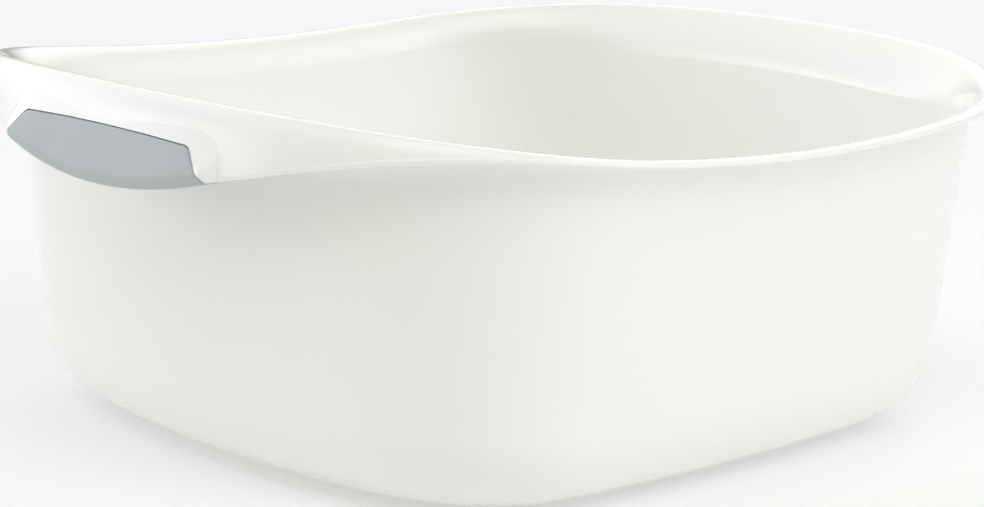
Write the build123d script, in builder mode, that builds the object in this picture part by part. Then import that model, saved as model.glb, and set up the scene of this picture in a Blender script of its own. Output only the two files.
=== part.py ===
from build123d import *
from math import atan2, cos, degrees, hypot, pi, radians, sin, tan
import os

os.makedirs("parts", exist_ok=True)

# Washing up bowl: one moulded shell with a rolled rim, and a soft grip on each of its two handles.
# Millimetres. X runs through the handles, Y across the bowl, Z up. The origin is under the middle.

# Outline of the shell at floor level: four bowed sides joined by round corners
floor_length = 302.0
floor_width = 283.6
end_bow_radius = 357.0
side_bow_radius = 777.0
corner_radius = 72.0

# Wall and floor
wall = 2.4
wall_draft = 5.0
base_radius = 33.0
floor_land = 5.0

# Foot ring under the floor
foot_height = 1.2
foot_step = 1.0
foot_width = 3.0
foot_edge_radius = 0.4

# Crest of the rim: lowest in the middle of the two plain sides, highest at the two handles
side_crest_height = 123.4
handle_crest_rise = 15.4
side_flare = 6.5
handle_flare = 12.4
side_flare_depth = 13.0
handle_flare_depth = 20.2
flare_half_span = 63.0
flare_side_margin = 11.0

# Lip that turns over outside the crest: a thin edge at the sides, a deep wing at the handles
side_lip_reach = 2.2
side_lip_drop = 0.4
side_lip_angle = 8.0
handle_lip_reach = 11.5
handle_lip_drop = 22.4
handle_lip_angle = 80.0
lip_half_span = 36.0
lip_side_margin = 4.0

# Handle form that stands proud of each wing and carries the grip, measured from the crest
handle_half_width = 58.0
handle_reach = 15.5
handle_bow = 4.3
handle_front_reach = 5.6
handle_front_drop = 6.6
handle_swell_reach = 11.8
handle_inner_reach = 3.2
handle_bottom_drop = 32.2
handle_tip_lift = 8.5
handle_thickness = 6.5
handle_end_round = 4.5
handle_end_sink = 6.0
handle_top_half_width = 36.0
handle_top_sink = 6.5
handle_round = 1.6
brow_height = 3.6
brow_overhang = 1.6
brow_round = 1.2

# Soft grip: its outline seen from the end of the bowl, from the middle of the handle outwards
grip_half_width = 54.8
grip_top_half_width = 45.0
grip_end_half_width = 51.6
grip_top_drop = 12.8
grip_corner_drop = 13.9
grip_end_drop = 20.8
grip_tip_drop = 24.2
grip_corner_radius = 5.0
grip_end_radius = 4.0
grip_proud = 0.25
grip_gap = 0.4
grip_depth = 6.0

# Tongue of the shell inside the soft grip, with holes that key the two together
tongue = 2.2
tongue_half_width = 39.0
tongue_root_reach = 5.4
tongue_root_drop = 8.8
tongue_nose_inset = 5.0
tongue_nose_height = 5.4
tongue_gap = 0.05
key_hole = 5.0
key_hole_spacing = 16.0
key_hole_drop = 19.3

# Shares of a curve's own reach that set how tight its bends are
bend_shares = {"side_foot": 0.55, "side_crest": 0.45, "handle_foot": 0.30, "handle_crest": 0.28}
lip_start_share = 0.38
lip_end_share = (0.77, 0.32)
front_share = (0.28, 0.07)
swell_share = 0.5
swell_sink_share = 0.6
shoulder_sink_share = 0.7
round_share = 2 / 3
tongue_station_shares = (-1, -0.5, 0, 0.5, 1)

overrun = 40.0
stations_per_end = 4
stations_per_side = 4
stations_per_corner = 6
stations_per_handle = 12
stations_per_end_round = 6
key_holes = 5

half_length = floor_length / 2
half_width = floor_width / 2
slope = tan(radians(wall_draft))
floor_bottom = foot_height
fillet_inset = base_radius / cos(radians(wall_draft)) - base_radius * slope
floor_edge = -(fillet_inset + floor_land)
wall_skin = wall / cos(radians(wall_draft))
rim_height = side_crest_height + handle_crest_rise
rim_length = floor_length + 2 * (rim_height * slope + handle_flare)


def corner_centre():
    """Centre of a corner arc that touches an end bow and a side bow from inside."""
    end_centre = half_length - end_bow_radius
    side_centre = half_width - side_bow_radius
    apart = hypot(end_centre, side_centre)
    to_end = end_bow_radius - corner_radius
    to_side = side_bow_radius - corner_radius
    along = (to_end ** 2 - to_side ** 2 + apart ** 2) / (2 * apart)
    across = (to_end ** 2 - along ** 2) ** 0.5
    x = end_centre - end_centre / apart * along - side_centre / apart * across
    y = side_centre / apart * along - end_centre / apart * across
    return x, y


corner_x, corner_y = corner_centre()
corner_start = degrees(atan2(corner_y, corner_x - (half_length - end_bow_radius)))
corner_end = degrees(atan2(corner_y - (half_width - side_bow_radius), corner_x))


def on_outline(angle):
    """Point of the floor outline whose outward normal makes this angle with X, in one quarter."""
    if angle <= corner_start:
        centre, radius = (half_length - end_bow_radius, 0), end_bow_radius
    elif angle >= corner_end:
        centre, radius = (0, half_width - side_bow_radius), side_bow_radius
    else:
        centre, radius = (corner_x, corner_y), corner_radius
    return centre[0] + radius * cos(radians(angle)), centre[1] + radius * sin(radians(angle))


def spread(first, last, count):
    """Evenly spread values from first up to, but not with, last."""
    return [first + (last - first) * i / count for i in range(count)]


def station_angles():
    """Normals of the sections of the half with the +X handle, a little past the middle of each side."""
    quarter = spread(0, corner_start, stations_per_end)
    quarter += spread(corner_start, corner_end, stations_per_corner)
    quarter += spread(corner_end, 90, stations_per_side)
    quarter += [90] + [180 - angle for angle in quarter[:-3:-1]]
    return [-angle for angle in quarter[:0:-1]] + quarter


def fade(y, start, end):
    """One inside start, nothing beyond end, and an even slope between them."""
    share = min(max((abs(y) - start) / (end - start), 0), 1)
    return (1 + cos(pi * share)) / 2


def between(side, handle, share):
    return side + (handle - side) * share


def rim_at(x, y, normal_x):
    """Sizes of the rim at one section: crest, flare and lip."""
    flare_share = fade(y, flare_half_span, half_width - flare_side_margin)
    lip_share = fade(y, lip_half_span, half_width - lip_side_margin)
    flare = between(side_flare, handle_flare, flare_share)
    along = abs(x) + abs(normal_x) * (rim_height * slope + flare)
    crest_z = side_crest_height + handle_crest_rise * (along / (rim_length / 2)) ** 2
    angle = radians(between(side_lip_angle, handle_lip_angle, lip_share))
    return {
        "crest": (crest_z * slope + flare, crest_z),
        "depth": between(side_flare_depth, handle_flare_depth, flare_share),
        "foot_bend": between(bend_shares["side_foot"], bend_shares["handle_foot"], flare_share),
        "crest_bend": between(bend_shares["side_crest"], bend_shares["handle_crest"], flare_share),
        "lip_reach": between(side_lip_reach, handle_lip_reach, lip_share),
        "lip_drop": between(side_lip_drop, handle_lip_drop, lip_share),
        "lip_way": (cos(angle), -sin(angle)),
    }


def section(angle):
    """Upright section of the shell where the outline's normal makes this angle with X."""
    folded = angle % 180
    folded = min(folded, 180 - folded)
    x, y = on_outline(folded)
    normal = (cos(radians(angle)), sin(radians(angle)))
    x = x if normal[0] >= 0 else -x
    y = y if normal[1] >= 0 else -y
    rim = rim_at(x, y, normal[0])
    crest_n, crest_z = rim["crest"]
    foot_z = crest_z - rim["depth"]
    way_n, way_z = rim["lip_way"]
    reach, drop = rim["lip_reach"], rim["lip_drop"]

    arc_centre = (-fillet_inset, floor_bottom + base_radius)
    outer_foot = ((foot_z - wall / 2 - floor_bottom) * slope, foot_z - wall / 2)
    inner_foot = ((foot_z - floor_bottom) * slope - wall_skin, foot_z)
    outer_crest = (crest_n, crest_z)
    inner_crest = (crest_n, crest_z - wall)
    rise = crest_z - foot_z
    run = crest_n - inner_foot[0]
    top_end = (crest_n + reach, crest_z - drop)
    under_end = (top_end[0] + way_z * wall, top_end[1] - way_n * wall)
    plane = Plane(origin=(x, y, 0), x_dir=(normal[0], normal[1], 0), z_dir=(normal[1], -normal[0], 0))

    with BuildSketch(plane) as profile:
        with BuildLine():
            under_floor = Line((floor_edge, floor_bottom), (-fillet_inset, floor_bottom))
            outer_bend = CenterArc(arc_centre, base_radius, 270, 90 - wall_draft)
            Line(outer_bend @ 1, outer_foot)
            Bezier(
                outer_foot,
                (outer_foot[0] + slope * rise * rim["foot_bend"], outer_foot[1] + rise * rim["foot_bend"]),
                (inner_crest[0] - run * rim["crest_bend"], inner_crest[1]),
                inner_crest,
            )
            Bezier(
                inner_crest,
                (inner_crest[0] + lip_start_share * (under_end[0] - inner_crest[0]), inner_crest[1]),
                (
                    between(inner_crest[0], under_end[0], lip_end_share[0]),
                    between(inner_crest[1], under_end[1], lip_end_share[1]),
                ),
                under_end,
            )
            Bezier(
                under_end,
                (under_end[0] + way_n * wall * round_share, under_end[1] + way_z * wall * round_share),
                (top_end[0] + way_n * wall * round_share, top_end[1] + way_z * wall * round_share),
                top_end,
            )
            Bezier(
                top_end,
                (
                    between(outer_crest[0], top_end[0], lip_end_share[0]),
                    between(outer_crest[1], top_end[1], lip_end_share[1]),
                ),
                (outer_crest[0] + lip_start_share * reach, outer_crest[1]),
                outer_crest,
            )
            Bezier(
                outer_crest,
                (outer_crest[0] - run * rim["crest_bend"], outer_crest[1]),
                (inner_foot[0] + slope * rise * rim["foot_bend"], inner_foot[1] + rise * rim["foot_bend"]),
                inner_foot,
            )
            inner_bend = CenterArc(arc_centre, base_radius - wall, 360 - wall_draft, wall_draft - 90)
            Line(inner_foot, inner_bend @ 0)
            over_floor = Line(inner_bend @ 1, (floor_edge, floor_bottom + wall))
            Line(over_floor @ 1, under_floor @ 0)
        make_face()
    return profile.sketch.faces()[0]


def floor_face(inset):
    """Face inside the floor outline, drawn in by an inset."""
    end_centre = half_length - end_bow_radius
    side_centre = half_width - side_bow_radius
    with BuildSketch() as face:
        with BuildLine():
            CenterArc((end_centre, 0), end_bow_radius - inset, 0, corner_start)
            CenterArc((corner_x, corner_y), corner_radius - inset, corner_start, corner_end - corner_start)
            CenterArc((0, side_centre), side_bow_radius - inset, corner_end, 90 - corner_end)
            mirror(about=Plane.YZ)
            mirror(about=Plane.XZ)
        make_face()
    return face.sketch


def crest_x(y):
    """Distance of the crest from the middle of the bowl, across one handle."""
    return rim_length / 2 - y ** 2 / (2 * (end_bow_radius + rim_length / 2 - half_length))


def edge_x(y):
    """Distance of the handle form's outer edge from the middle of the bowl."""
    return rim_length / 2 + handle_reach - handle_bow * (y / handle_half_width) ** 2


def underside_z(y):
    """Height of the underside of the handle form."""
    return rim_height - handle_bottom_drop + handle_tip_lift * (y / handle_half_width) ** 2


def towards(start, end, distance):
    """Point at a distance from start on the way to end."""
    share = distance / hypot(end[0] - start[0], end[1] - start[1])
    return between(start[0], end[0], share), between(start[1], end[1], share)


def top_sink(y):
    """How far the top of the handle form draws back into the wing, towards its ends."""
    past = max(abs(y) - handle_top_half_width, 0) / (handle_half_width - handle_top_half_width)
    return handle_top_sink * past ** 2


def handle_section(y, grow, sink=0):
    """Upright section across one handle form, grown outwards by an allowance, its outside sunk by another."""
    crest = crest_x(y)
    front = (crest + handle_front_reach, rim_height - handle_front_drop + grow)
    brow = (edge_x(y) + grow - sink, underside_z(y) + brow_height)
    low = (brow[0] - brow_overhang, underside_z(y) - grow)
    inner_low = (low[0] - handle_thickness - 2 * grow + sink / 2, low[1])
    inner_top = (crest + handle_inner_reach - grow, front[1])
    shoulder_x = between(front[0], brow[0], front_share[0]) - top_sink(y) * shoulder_sink_share
    shoulder = (shoulder_x, between(front[1], brow[1], front_share[1]))
    swell_x = rim_length / 2 + handle_swell_reach + grow - sink * swell_sink_share - top_sink(y)
    swell = (swell_x, between(front[1], brow[1], swell_share))
    with BuildSketch(Plane.XZ.offset(-y)) as profile:
        with BuildLine():
            Bezier(front, shoulder, swell, towards(brow, swell, brow_round))
            Bezier(towards(brow, swell, brow_round), brow, towards(brow, low, brow_round))
            Line(towards(brow, low, brow_round), towards(low, brow, handle_round))
            Bezier(towards(low, brow, handle_round), low, towards(low, inner_low, handle_round))
            Polyline(towards(low, inner_low, handle_round), inner_low, inner_top, front)
        make_face()
    return profile.sketch.faces()[0]


def handle_form(grow):
    """One handle form: its long middle, and two ends that round off into the wing."""
    start = handle_half_width - handle_end_round
    turns = [pi / 2 * step / stations_per_end_round for step in range(stations_per_end_round + 1)]
    with BuildPart() as form:
        loft([handle_section(y, grow) for y in spread(-start, start, stations_per_handle) + [start]])
        for side in (1, -1):
            loft([
                handle_section(side * (start + handle_end_round * sin(turn)), grow, handle_end_sink * (1 - cos(turn)))
                for turn in turns
            ])
    return form.part


def tongue_section(y, grow):
    """Upright section of the tongue: a plate from inside the wing's skin towards the edge."""
    root = Vector(crest_x(y) + tongue_root_reach, rim_height - tongue_root_drop)
    nose = Vector(edge_x(y) - tongue_nose_inset, underside_z(y) + tongue_nose_height)
    way = (nose - root).normalized()
    side = way.rotate(Axis.Z, 90) * (tongue / 2 + grow)
    root -= way * grow
    nose += way * grow
    with BuildSketch(Plane.XZ.offset(-y)) as profile:
        with BuildLine():
            Polyline(root + side, nose + side, nose - side, root - side, close=True)
        make_face()
    return profile.sketch.faces()[0]


def tongue_plate(grow):
    """The tongue in one handle, with its row of key holes."""
    with BuildPart() as plate:
        loft([tongue_section(share * (tongue_half_width + grow), grow) for share in tongue_station_shares])
        with BuildSketch(Plane.YZ.offset(rim_length / 2)):
            with Locations((0, rim_height - key_hole_drop)):
                with GridLocations(key_hole_spacing, 0, key_holes, 1):
                    Circle(key_hole / 2 - grow)
        extrude(amount=overrun, mode=Mode.SUBTRACT)
    return plate.part


def grip_window(gap):
    """Block with the grip's outline as seen along X, from behind the wing out past the handle's edge."""
    corner = (grip_top_half_width + gap, rim_height - grip_corner_drop + gap)
    end = (grip_end_half_width + gap, rim_height - grip_end_drop)
    tip = (grip_half_width + gap, rim_height - grip_tip_drop)
    below = (grip_half_width + gap, rim_height - overrun)
    with BuildPart() as window:
        with BuildSketch(Plane.YZ.offset(rim_length / 2 - grip_depth)) as outline:
            with BuildLine():
                ThreePointArc((-corner[0], corner[1]), (0, rim_height - grip_top_drop + gap), corner)
                half = FilletPolyline(corner, end, tip, below, radius=grip_end_radius)
                Line(below, (0, below[1]))
                mirror([half, Line(below, (0, below[1]), mode=Mode.PRIVATE)], about=Plane.YZ)
            make_face()
            fillet(outline.vertices().sort_by(Axis.Y)[-2:], grip_corner_radius)
        extrude(amount=overrun)
    return window.part


def far_side(piece):
    """The same piece on the other handle."""
    return mirror(piece, about=Plane.YZ, mode=Mode.PRIVATE)


# The shell: rim and wall lofted in one half and mirrored, then the floor, its foot ring and the handles
window = grip_window(grip_gap)
plate = tongue_plate(0)
form = handle_form(0)
with BuildPart() as bowl:
    loft([section(angle) for angle in station_angles()])
    split(bisect_by=Plane.YZ, keep=Keep.TOP)
    mirror(about=Plane.YZ)
    with BuildSketch(Plane.XY.offset(floor_bottom)):
        add(floor_face(fillet_inset + floor_land / 2))
    extrude(amount=wall)
    with BuildSketch(Plane.XY.offset(floor_bottom)):
        add(floor_face(fillet_inset + foot_step))
        add(floor_face(fillet_inset + foot_step + foot_width), mode=Mode.SUBTRACT)
    extrude(amount=-foot_height)
    fillet(bowl.edges().group_by(Axis.Z)[0], foot_edge_radius)
    add([form, far_side(form)])
    add([window, far_side(window)], mode=Mode.SUBTRACT)
    add([plate, far_side(plate)])
bowl.part.label = "bowl"
export_step(bowl.part, "parts/bowl.step")

# The soft grips: the handle form inside the window, moulded round the tongue
socket = tongue_plate(tongue_gap)
with BuildPart() as right_grip:
    add(handle_form(grip_proud))
    add(grip_window(0), mode=Mode.INTERSECT)
    add(socket, mode=Mode.SUBTRACT)
right_grip.part.label = "right_grip"
export_step(right_grip.part, "parts/right_grip.step")

with BuildPart() as left_grip:
    add(right_grip.part)
    mirror(about=Plane.YZ, mode=Mode.REPLACE)
left_grip.part.label = "left_grip"
export_step(left_grip.part, "parts/left_grip.step")

for piece in (bowl.part, right_grip.part, left_grip.part):
    box = piece.bounding_box()
    print(piece.label, piece.is_valid, len(piece.solids()), round(piece.volume), box.min, box.max)
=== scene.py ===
# %% [markdown]
# # A washing up bowl
# The real thing is one injection moulding in glossy white plastic. Its rim dips at the two plain
# sides and rises at the two ends, where it turns over into a wing that serves as a handle. A soft
# grey grip is moulded onto the edge of each wing. This lesson loads the exact solids, sets the
# camera and the light of a product photograph, and then gives every surface its finish.

# %% Load the frame
import math

import bmesh
import bpy
from mathutils import Matrix, Vector


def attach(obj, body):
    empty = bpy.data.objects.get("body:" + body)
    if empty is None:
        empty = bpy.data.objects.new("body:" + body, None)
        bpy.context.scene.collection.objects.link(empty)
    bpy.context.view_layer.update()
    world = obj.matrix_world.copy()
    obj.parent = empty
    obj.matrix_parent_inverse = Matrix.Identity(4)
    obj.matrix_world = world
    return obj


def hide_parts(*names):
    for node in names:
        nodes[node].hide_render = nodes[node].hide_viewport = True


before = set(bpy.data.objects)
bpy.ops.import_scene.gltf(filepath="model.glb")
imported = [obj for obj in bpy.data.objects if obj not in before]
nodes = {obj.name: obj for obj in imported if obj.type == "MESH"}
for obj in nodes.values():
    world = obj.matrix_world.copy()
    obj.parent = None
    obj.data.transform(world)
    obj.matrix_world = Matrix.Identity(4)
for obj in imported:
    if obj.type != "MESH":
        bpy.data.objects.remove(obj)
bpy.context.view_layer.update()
print("solids:", sorted(nodes))

# %% [markdown]
# ## The camera
# The photograph looks down at one corner of the bowl, so that the plain side and one handle show
# equally. Typing a place in metres would be hard to correct. Two angles are what a photographer
# thinks in: how far round the bowl, and how far up from the table. A small helper turns them into
# a direction, and the lamps use it too.


# %% Directions round the bowl
def direction_at(azimuth, elevation):
    """Unit vector from the bowl: azimuth in degrees from -Y towards +X, elevation from the table."""
    turn, rise = math.radians(azimuth), math.radians(elevation)
    level = math.cos(rise)
    return Vector((math.sin(turn) * level, -math.cos(turn) * level, math.sin(rise)))


towards_camera = direction_at(-44.5, 12.0)
print("towards the camera:", [round(value, 3) for value in towards_camera])

# %% [markdown]
# Almost parallel edges say that the camera stood back and used a long lens. It aims at a point
# inside the bowl. The photograph leans by two degrees, and rolling the camera is better than
# tilting the bowl, which has to stand flat.

# %% Place the camera
looks_at = Vector((0.0024, 0.0027, 0.0579))
CAMERA_DISTANCE = 1.055
CAMERA_ROLL = 1.92
SENSOR_WIDTH = 36.0
FOCAL_LENGTH = 99.4
camera = bpy.data.objects.new("camera", bpy.data.cameras.new("camera"))
bpy.context.scene.collection.objects.link(camera)
camera.data.sensor_width = SENSOR_WIDTH
camera.data.lens = FOCAL_LENGTH
camera.location = looks_at + CAMERA_DISTANCE * towards_camera
level = towards_camera.to_track_quat("Z", "Y").to_matrix()
rolled = level @ Matrix.Rotation(math.radians(CAMERA_ROLL), 3, "Z")
camera.rotation_euler = rolled.to_euler()
bpy.context.scene.camera = camera
print("camera at", [round(value, 3) for value in camera.location])

# %% [markdown]
# ## Node trees in code
# The light, the table and both finishes are node trees. Drawn by hand, each node needs a click to
# add it and one more for every value and link. Two helpers do the same in code, so that each node
# of a tree takes one line.


# %% Helpers for node trees
def new_tree(owner):
    """The empty node tree of a material or world."""
    owner.use_nodes = True
    owner.node_tree.nodes.clear()
    return owner.node_tree


def put(tree, kind, values=None, **settings):
    """Add a node, set its properties, and fill or link its inputs."""
    node = tree.nodes.new(kind)
    for name, value in settings.items():
        setattr(node, name, value)
    for socket, value in (values or {}).items():
        if isinstance(value, bpy.types.NodeSocket):
            tree.links.new(value, node.inputs[socket])
        else:
            node.inputs[socket].default_value = value
    return node


# %% [markdown]
# ## The light
# A white object on a white table only shows because of small differences in light. A product
# photographer puts it in a tent whose panels aren't equally bright. Here light comes over the
# camera from above and from both flanks, and the low panels behind the camera stay dark, so the
# corner nearest to us falls off to a warm grey. Real panels would need stands, would show in the
# gloss as shapes and would get in the way of other views. A dome of light very far away does the
# same with no edges to hide, because its brightness depends on direction alone.

# %% The panels of the tent
# azimuth, elevation, half angle in degrees, brightness in red, green and blue
PANELS = [
    (-170, 8, 28, (0.74, 0.57, 0.62)),
    (-150, 8, 28, (0.90, 1.01, 1.16)),
    (-130, 8, 28, (2.04, 2.16, 1.84)),
    (30, 8, 28, (0.70, 0.80, 0.50)),
    (170, 8, 28, (0.39, 0.39, 0.36)),
    (-150, 32, 34, (0.48, 0.61, 0.96)),
    (-60, 32, 34, (0.24, 0.15, 0.00)),
    (30, 32, 34, (1.20, 1.15, 1.56)),
    (120, 32, 34, (1.45, 1.42, 1.51)),
    (150, 32, 34, (0.40, 0.45, 0.47)),
    (180, 32, 34, (0.82, 0.75, 0.73)),
    (-90, 60, 36, (0.80, 0.78, 0.64)),
    (-30, 60, 36, (1.74, 1.79, 1.93)),
    (90, 60, 36, (0.33, 0.28, 0.00)),
]
print("panels in the tent:", len(PANELS))

# %% [markdown]
# Each panel is a soft round patch. The dot product of the view direction and the direction of the
# panel is 1 in its middle and falls off all round, and a smooth ramp turns that into light. The
# patches overlap, and their sum is the colour of the world. The Standard view transform shows
# white as white, as a shop photograph does.


# %% Hang the tent
def panel_light(tree, direction, towards, half_angle, colour):
    """Light from one panel, brightest in its middle and fading to nothing at the half angle."""
    dot = put(tree, "ShaderNodeVectorMath", {0: direction, 1: towards}, operation="DOT_PRODUCT")
    edge = math.cos(math.radians(half_angle))
    limits = {"From Min": edge, "From Max": 1.0, "To Min": 0.0, "To Max": 1.0}
    ramp = put(
        tree,
        "ShaderNodeMapRange",
        {"Value": dot.outputs["Value"], **limits},
        interpolation_type="SMOOTHSTEP",
    )
    fading = {"Vector": colour, "Scale": ramp.outputs[0]}
    return put(tree, "ShaderNodeVectorMath", fading, operation="SCALE").outputs[0]


TENT_STRENGTH = 1.03
world = bpy.data.worlds.new("light tent")
bpy.context.scene.world = world
tree = new_tree(world)
direction = put(tree, "ShaderNodeTexCoord").outputs["Generated"]
light = (0.0, 0.0, 0.0)
for azimuth, elevation, half_angle, colour in PANELS:
    panel = panel_light(tree, direction, direction_at(azimuth, elevation), half_angle, colour)
    light = put(tree, "ShaderNodeVectorMath", {0: panel, 1: light}, operation="ADD").outputs[0]
background = put(tree, "ShaderNodeBackground", {"Color": light, "Strength": TENT_STRENGTH})
put(tree, "ShaderNodeOutputWorld", {"Surface": background.outputs[0]})
bpy.context.scene.view_settings.view_transform = "Standard"
print("nodes in the tent:", len(tree.nodes))

# %% [markdown]
# One lamp has clear edges: a softbox to the right of the camera. It lights the plain side and
# leaves the end with the near grip in the shade, which tells the two apart. A panel of the tent
# could be as bright, but an area light has a real size and place, so its shadow has them too.

# %% Hang the softbox
SOFTBOX_POWER = 5.0
SOFTBOX_COLOUR = (0.93, 1.0, 0.87)
SOFTBOX_DISTANCE = 1.6
HALF_ACROSS, HALF_UP = 25, 20
softbox = bpy.data.objects.new("softbox", bpy.data.lights.new("softbox", "AREA"))
bpy.context.scene.collection.objects.link(softbox)
softbox.data.shape = "RECTANGLE"
softbox.data.size = 2 * SOFTBOX_DISTANCE * math.tan(math.radians(HALF_ACROSS))
softbox.data.size_y = 2 * SOFTBOX_DISTANCE * math.tan(math.radians(HALF_UP))
softbox.data.energy = SOFTBOX_POWER
softbox.data.color = SOFTBOX_COLOUR
towards_softbox = direction_at(8, 32)
softbox.location = looks_at + SOFTBOX_DISTANCE * towards_softbox
softbox.rotation_euler = towards_softbox.to_track_quat("Z", "Y").to_euler()
print("softbox in m:", round(softbox.data.size, 2), "by", round(softbox.data.size_y, 2))

# %% [markdown]
# The bowl stands on a sheet of translucent acrylic that glows a little from below. More light from
# above would whiten the table as well, but it would burn out the bowl. The glow keeps the table
# even and the shadow short, and it brightens the underside of the rim. The sheet has no
# highlight, so the other views stay plain too.

# %% The glowing table
TABLE_REACH = 4.0
TABLE_GREY = 0.6
TABLE_GLOW = 0.335
TABLE_ROUGHNESS = 0.9
mesh = bmesh.new()
bmesh.ops.create_grid(mesh, x_segments=1, y_segments=1, size=TABLE_REACH)
floor = bpy.data.objects.new("floor", bpy.data.meshes.new("floor"))
mesh.to_mesh(floor.data)
mesh.free()
bpy.context.scene.collection.objects.link(floor)
acrylic = bpy.data.materials.new("pale acrylic table")
tree = new_tree(acrylic)
table_values = {
    "Base Color": (TABLE_GREY, TABLE_GREY, TABLE_GREY, 1.0),
    "Roughness": TABLE_ROUGHNESS,
    "Specular IOR Level": 0.0,
    "Emission Color": (1.0, 1.0, 1.0, 1.0),
    "Emission Strength": TABLE_GLOW,
}
shader = put(tree, "ShaderNodeBsdfPrincipled", table_values)
put(tree, "ShaderNodeOutputMaterial", {"Surface": shader.outputs[0]})
floor.data.materials.append(acrylic)
print("table:", [round(value, 2) for value in floor.dimensions])

# %% [markdown]
# ## The surface of moulded plastic
# No moulding is perfectly smooth. A polished mould leaves a faint ripple that bends the
# reflections, and an etched mould leaves a fine grain. Each plastic has some of both, so one node
# group makes them from two sizes of noise, and each material places it with its own values. It
# reads Object coordinates, so the pattern stays on the piece. A Mix node keeps its sockets for
# numbers at 2 and 3, and those for colours at 6 and 7.


# %% A node group for the ripple and the grain
RIPPLE_DETAIL = 2.0
GRAIN_DETAIL = 3.0


def noise(tree, place, size, detail):
    """Noise of one size on the piece, as a number."""
    values = {"Vector": place, "Scale": size, "Detail": detail}
    return put(tree, "ShaderNodeTexNoise", values).outputs[0]


def moulded_surface():
    """Group that puts out a height for bump, a roughness, and a tone that varies slightly."""
    group = bpy.data.node_groups.new("moulded surface", "ShaderNodeTree")
    for name in ("Grain Size", "Ripple Size", "Grain", "Roughness", "Spread"):
        group.interface.new_socket(name, in_out="INPUT", socket_type="NodeSocketFloat")
    for name in ("Height", "Roughness", "Tone"):
        group.interface.new_socket(name, in_out="OUTPUT", socket_type="NodeSocketFloat")
    given = put(group, "NodeGroupInput").outputs
    place = put(group, "ShaderNodeTexCoord").outputs["Object"]
    ripple = noise(group, place, given["Ripple Size"], RIPPLE_DETAIL)
    grain = noise(group, place, given["Grain Size"], GRAIN_DETAIL)
    height = put(group, "ShaderNodeMix", {0: given["Grain"], 2: ripple, 3: grain})
    worn = {0: grain, 1: given["Spread"], 2: given["Roughness"]}
    rough = put(group, "ShaderNodeMath", worn, operation="MULTIPLY_ADD")
    results = {"Height": height.outputs[0], "Roughness": rough.outputs[0], "Tone": ripple}
    put(group, "NodeGroupOutput", results)
    return group


surface_group = moulded_surface()
print("group:", surface_group.name, "with", len(surface_group.nodes), "nodes")

# %% [markdown]
# ## The shell
# The shell is polypropylene from a polished mould: glossy, a warm white, with a very faint ripple.
# A finish is the group, a colour that drifts a little between two close tones, and a bump. The
# exact solid already has the right shape, so it keeps its mesh and only gets a material.


# %% Glossy warm white polypropylene
def moulded_finish(name, tones, surface, bump_depth, bump_strength):
    """Material from two close tones, values for the surface group, and a bump in metres."""
    material = bpy.data.materials.new(name)
    tree = new_tree(material)
    group = put(tree, "ShaderNodeGroup", surface, node_tree=surface_group).outputs
    drift = {0: group["Tone"], 6: tones[0], 7: tones[1]}
    colour = put(tree, "ShaderNodeMix", drift, data_type="RGBA").outputs[2]
    relief = {"Height": group["Height"], "Strength": bump_strength, "Distance": bump_depth}
    bump = put(tree, "ShaderNodeBump", relief).outputs[0]
    plastic = {"Base Color": colour, "Roughness": group["Roughness"], "Normal": bump}
    shader = put(tree, "ShaderNodeBsdfPrincipled", plastic)
    put(tree, "ShaderNodeOutputMaterial", {"Surface": shader.outputs[0]})
    return material


WARM_WHITES = ((0.925, 0.925, 0.890, 1.0), (0.935, 0.935, 0.905, 1.0))
shell_surface = {
    "Grain Size": 900.0,
    "Ripple Size": 45.0,
    "Grain": 0.15,
    "Roughness": 0.11,
    "Spread": 0.06,
}
shell_white = moulded_finish(
    "glossy warm white polypropylene",
    WARM_WHITES,
    shell_surface,
    bump_depth=0.001,
    bump_strength=0.05,
)
nodes["bowl"].data.materials.clear()
nodes["bowl"].data.materials.append(shell_white)
print("shell:", nodes["bowl"].name, "takes", shell_white.name)

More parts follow.
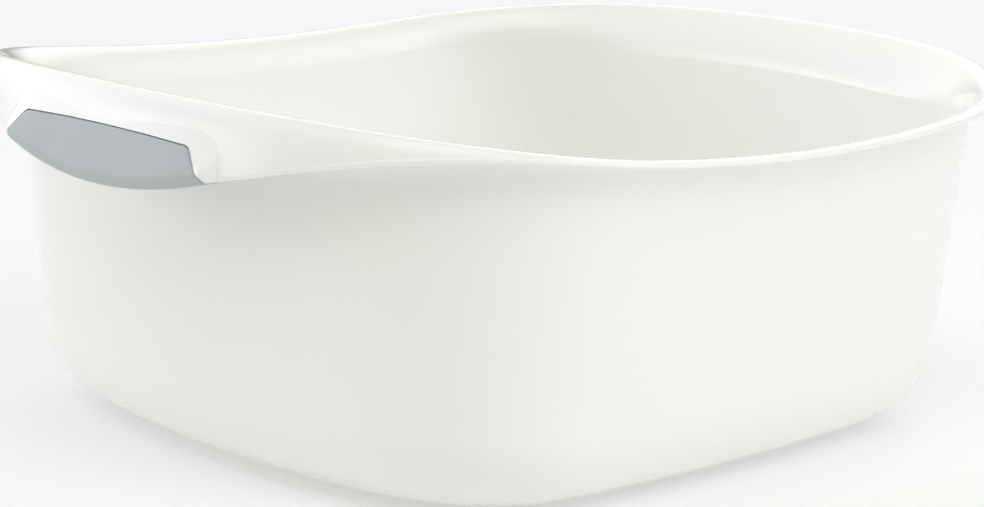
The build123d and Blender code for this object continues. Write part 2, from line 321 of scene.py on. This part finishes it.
# %% [markdown]
# ## The soft grips
# A grip is a soft elastomer, moulded onto the handle after the shell. It is darker and bluer than
# the shell and has no shine: the mould is etched, so the grain outweighs the ripple.

# %% Soft blue-grey elastomer
BLUE_GREYS = ((0.445, 0.48, 0.49, 1.0), (0.47, 0.505, 0.515, 1.0))
grip_surface = {
    "Grain Size": 2500.0,
    "Ripple Size": 60.0,
    "Grain": 0.8,
    "Roughness": 0.5,
    "Spread": 0.12,
}
grip_grey = moulded_finish(
    "soft blue-grey elastomer",
    BLUE_GREYS,
    grip_surface,
    bump_depth=0.0003,
    bump_strength=0.2,
)
print("grip material:", grip_grey.name)

# %% [markdown]
# The edges of a grip are slightly rounded where it meets the shell, and that makes the dark seam
# round it. Rounding the exact solid's edges one by one is fiddly. Filling it with small voxels and
# then relaxing the new mesh rounds them all at once, and both grips get the same skin. The mesh is
# merged first, because the exact solid's triangles are loose.

# %% Round the edges of the grips
MERGE_DISTANCE = 1e-6
GRIP_VOXEL = 0.0004
RELAX_FACTOR = 0.5
RELAX_ROUNDS = 2


def relaxed_copy(node, name):
    """Copy of a solid with a fine even mesh whose edges are rounded."""
    mesh = bmesh.new()
    mesh.from_mesh(node.data)
    bmesh.ops.remove_doubles(mesh, verts=mesh.verts, dist=MERGE_DISTANCE)
    piece = bpy.data.objects.new(name, bpy.data.meshes.new(name))
    mesh.to_mesh(piece.data)
    mesh.free()
    bpy.context.scene.collection.objects.link(piece)
    fine = piece.modifiers.new("fine mesh", "REMESH")
    fine.mode, fine.voxel_size, fine.use_smooth_shade = "VOXEL", GRIP_VOXEL, True
    relax = piece.modifiers.new("relax", "SMOOTH")
    relax.factor, relax.iterations = RELAX_FACTOR, RELAX_ROUNDS
    return piece


for side in ("left", "right"):
    grip = relaxed_copy(nodes[side + "_grip"], "soft_" + side + "_grip")
    grip.data.materials.append(grip_grey)
    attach(grip, "root")
    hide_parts(side + "_grip")
    made = grip.evaluated_get(bpy.context.evaluated_depsgraph_get())
    print(grip.name, "has", len(made.data.polygons), "faces")
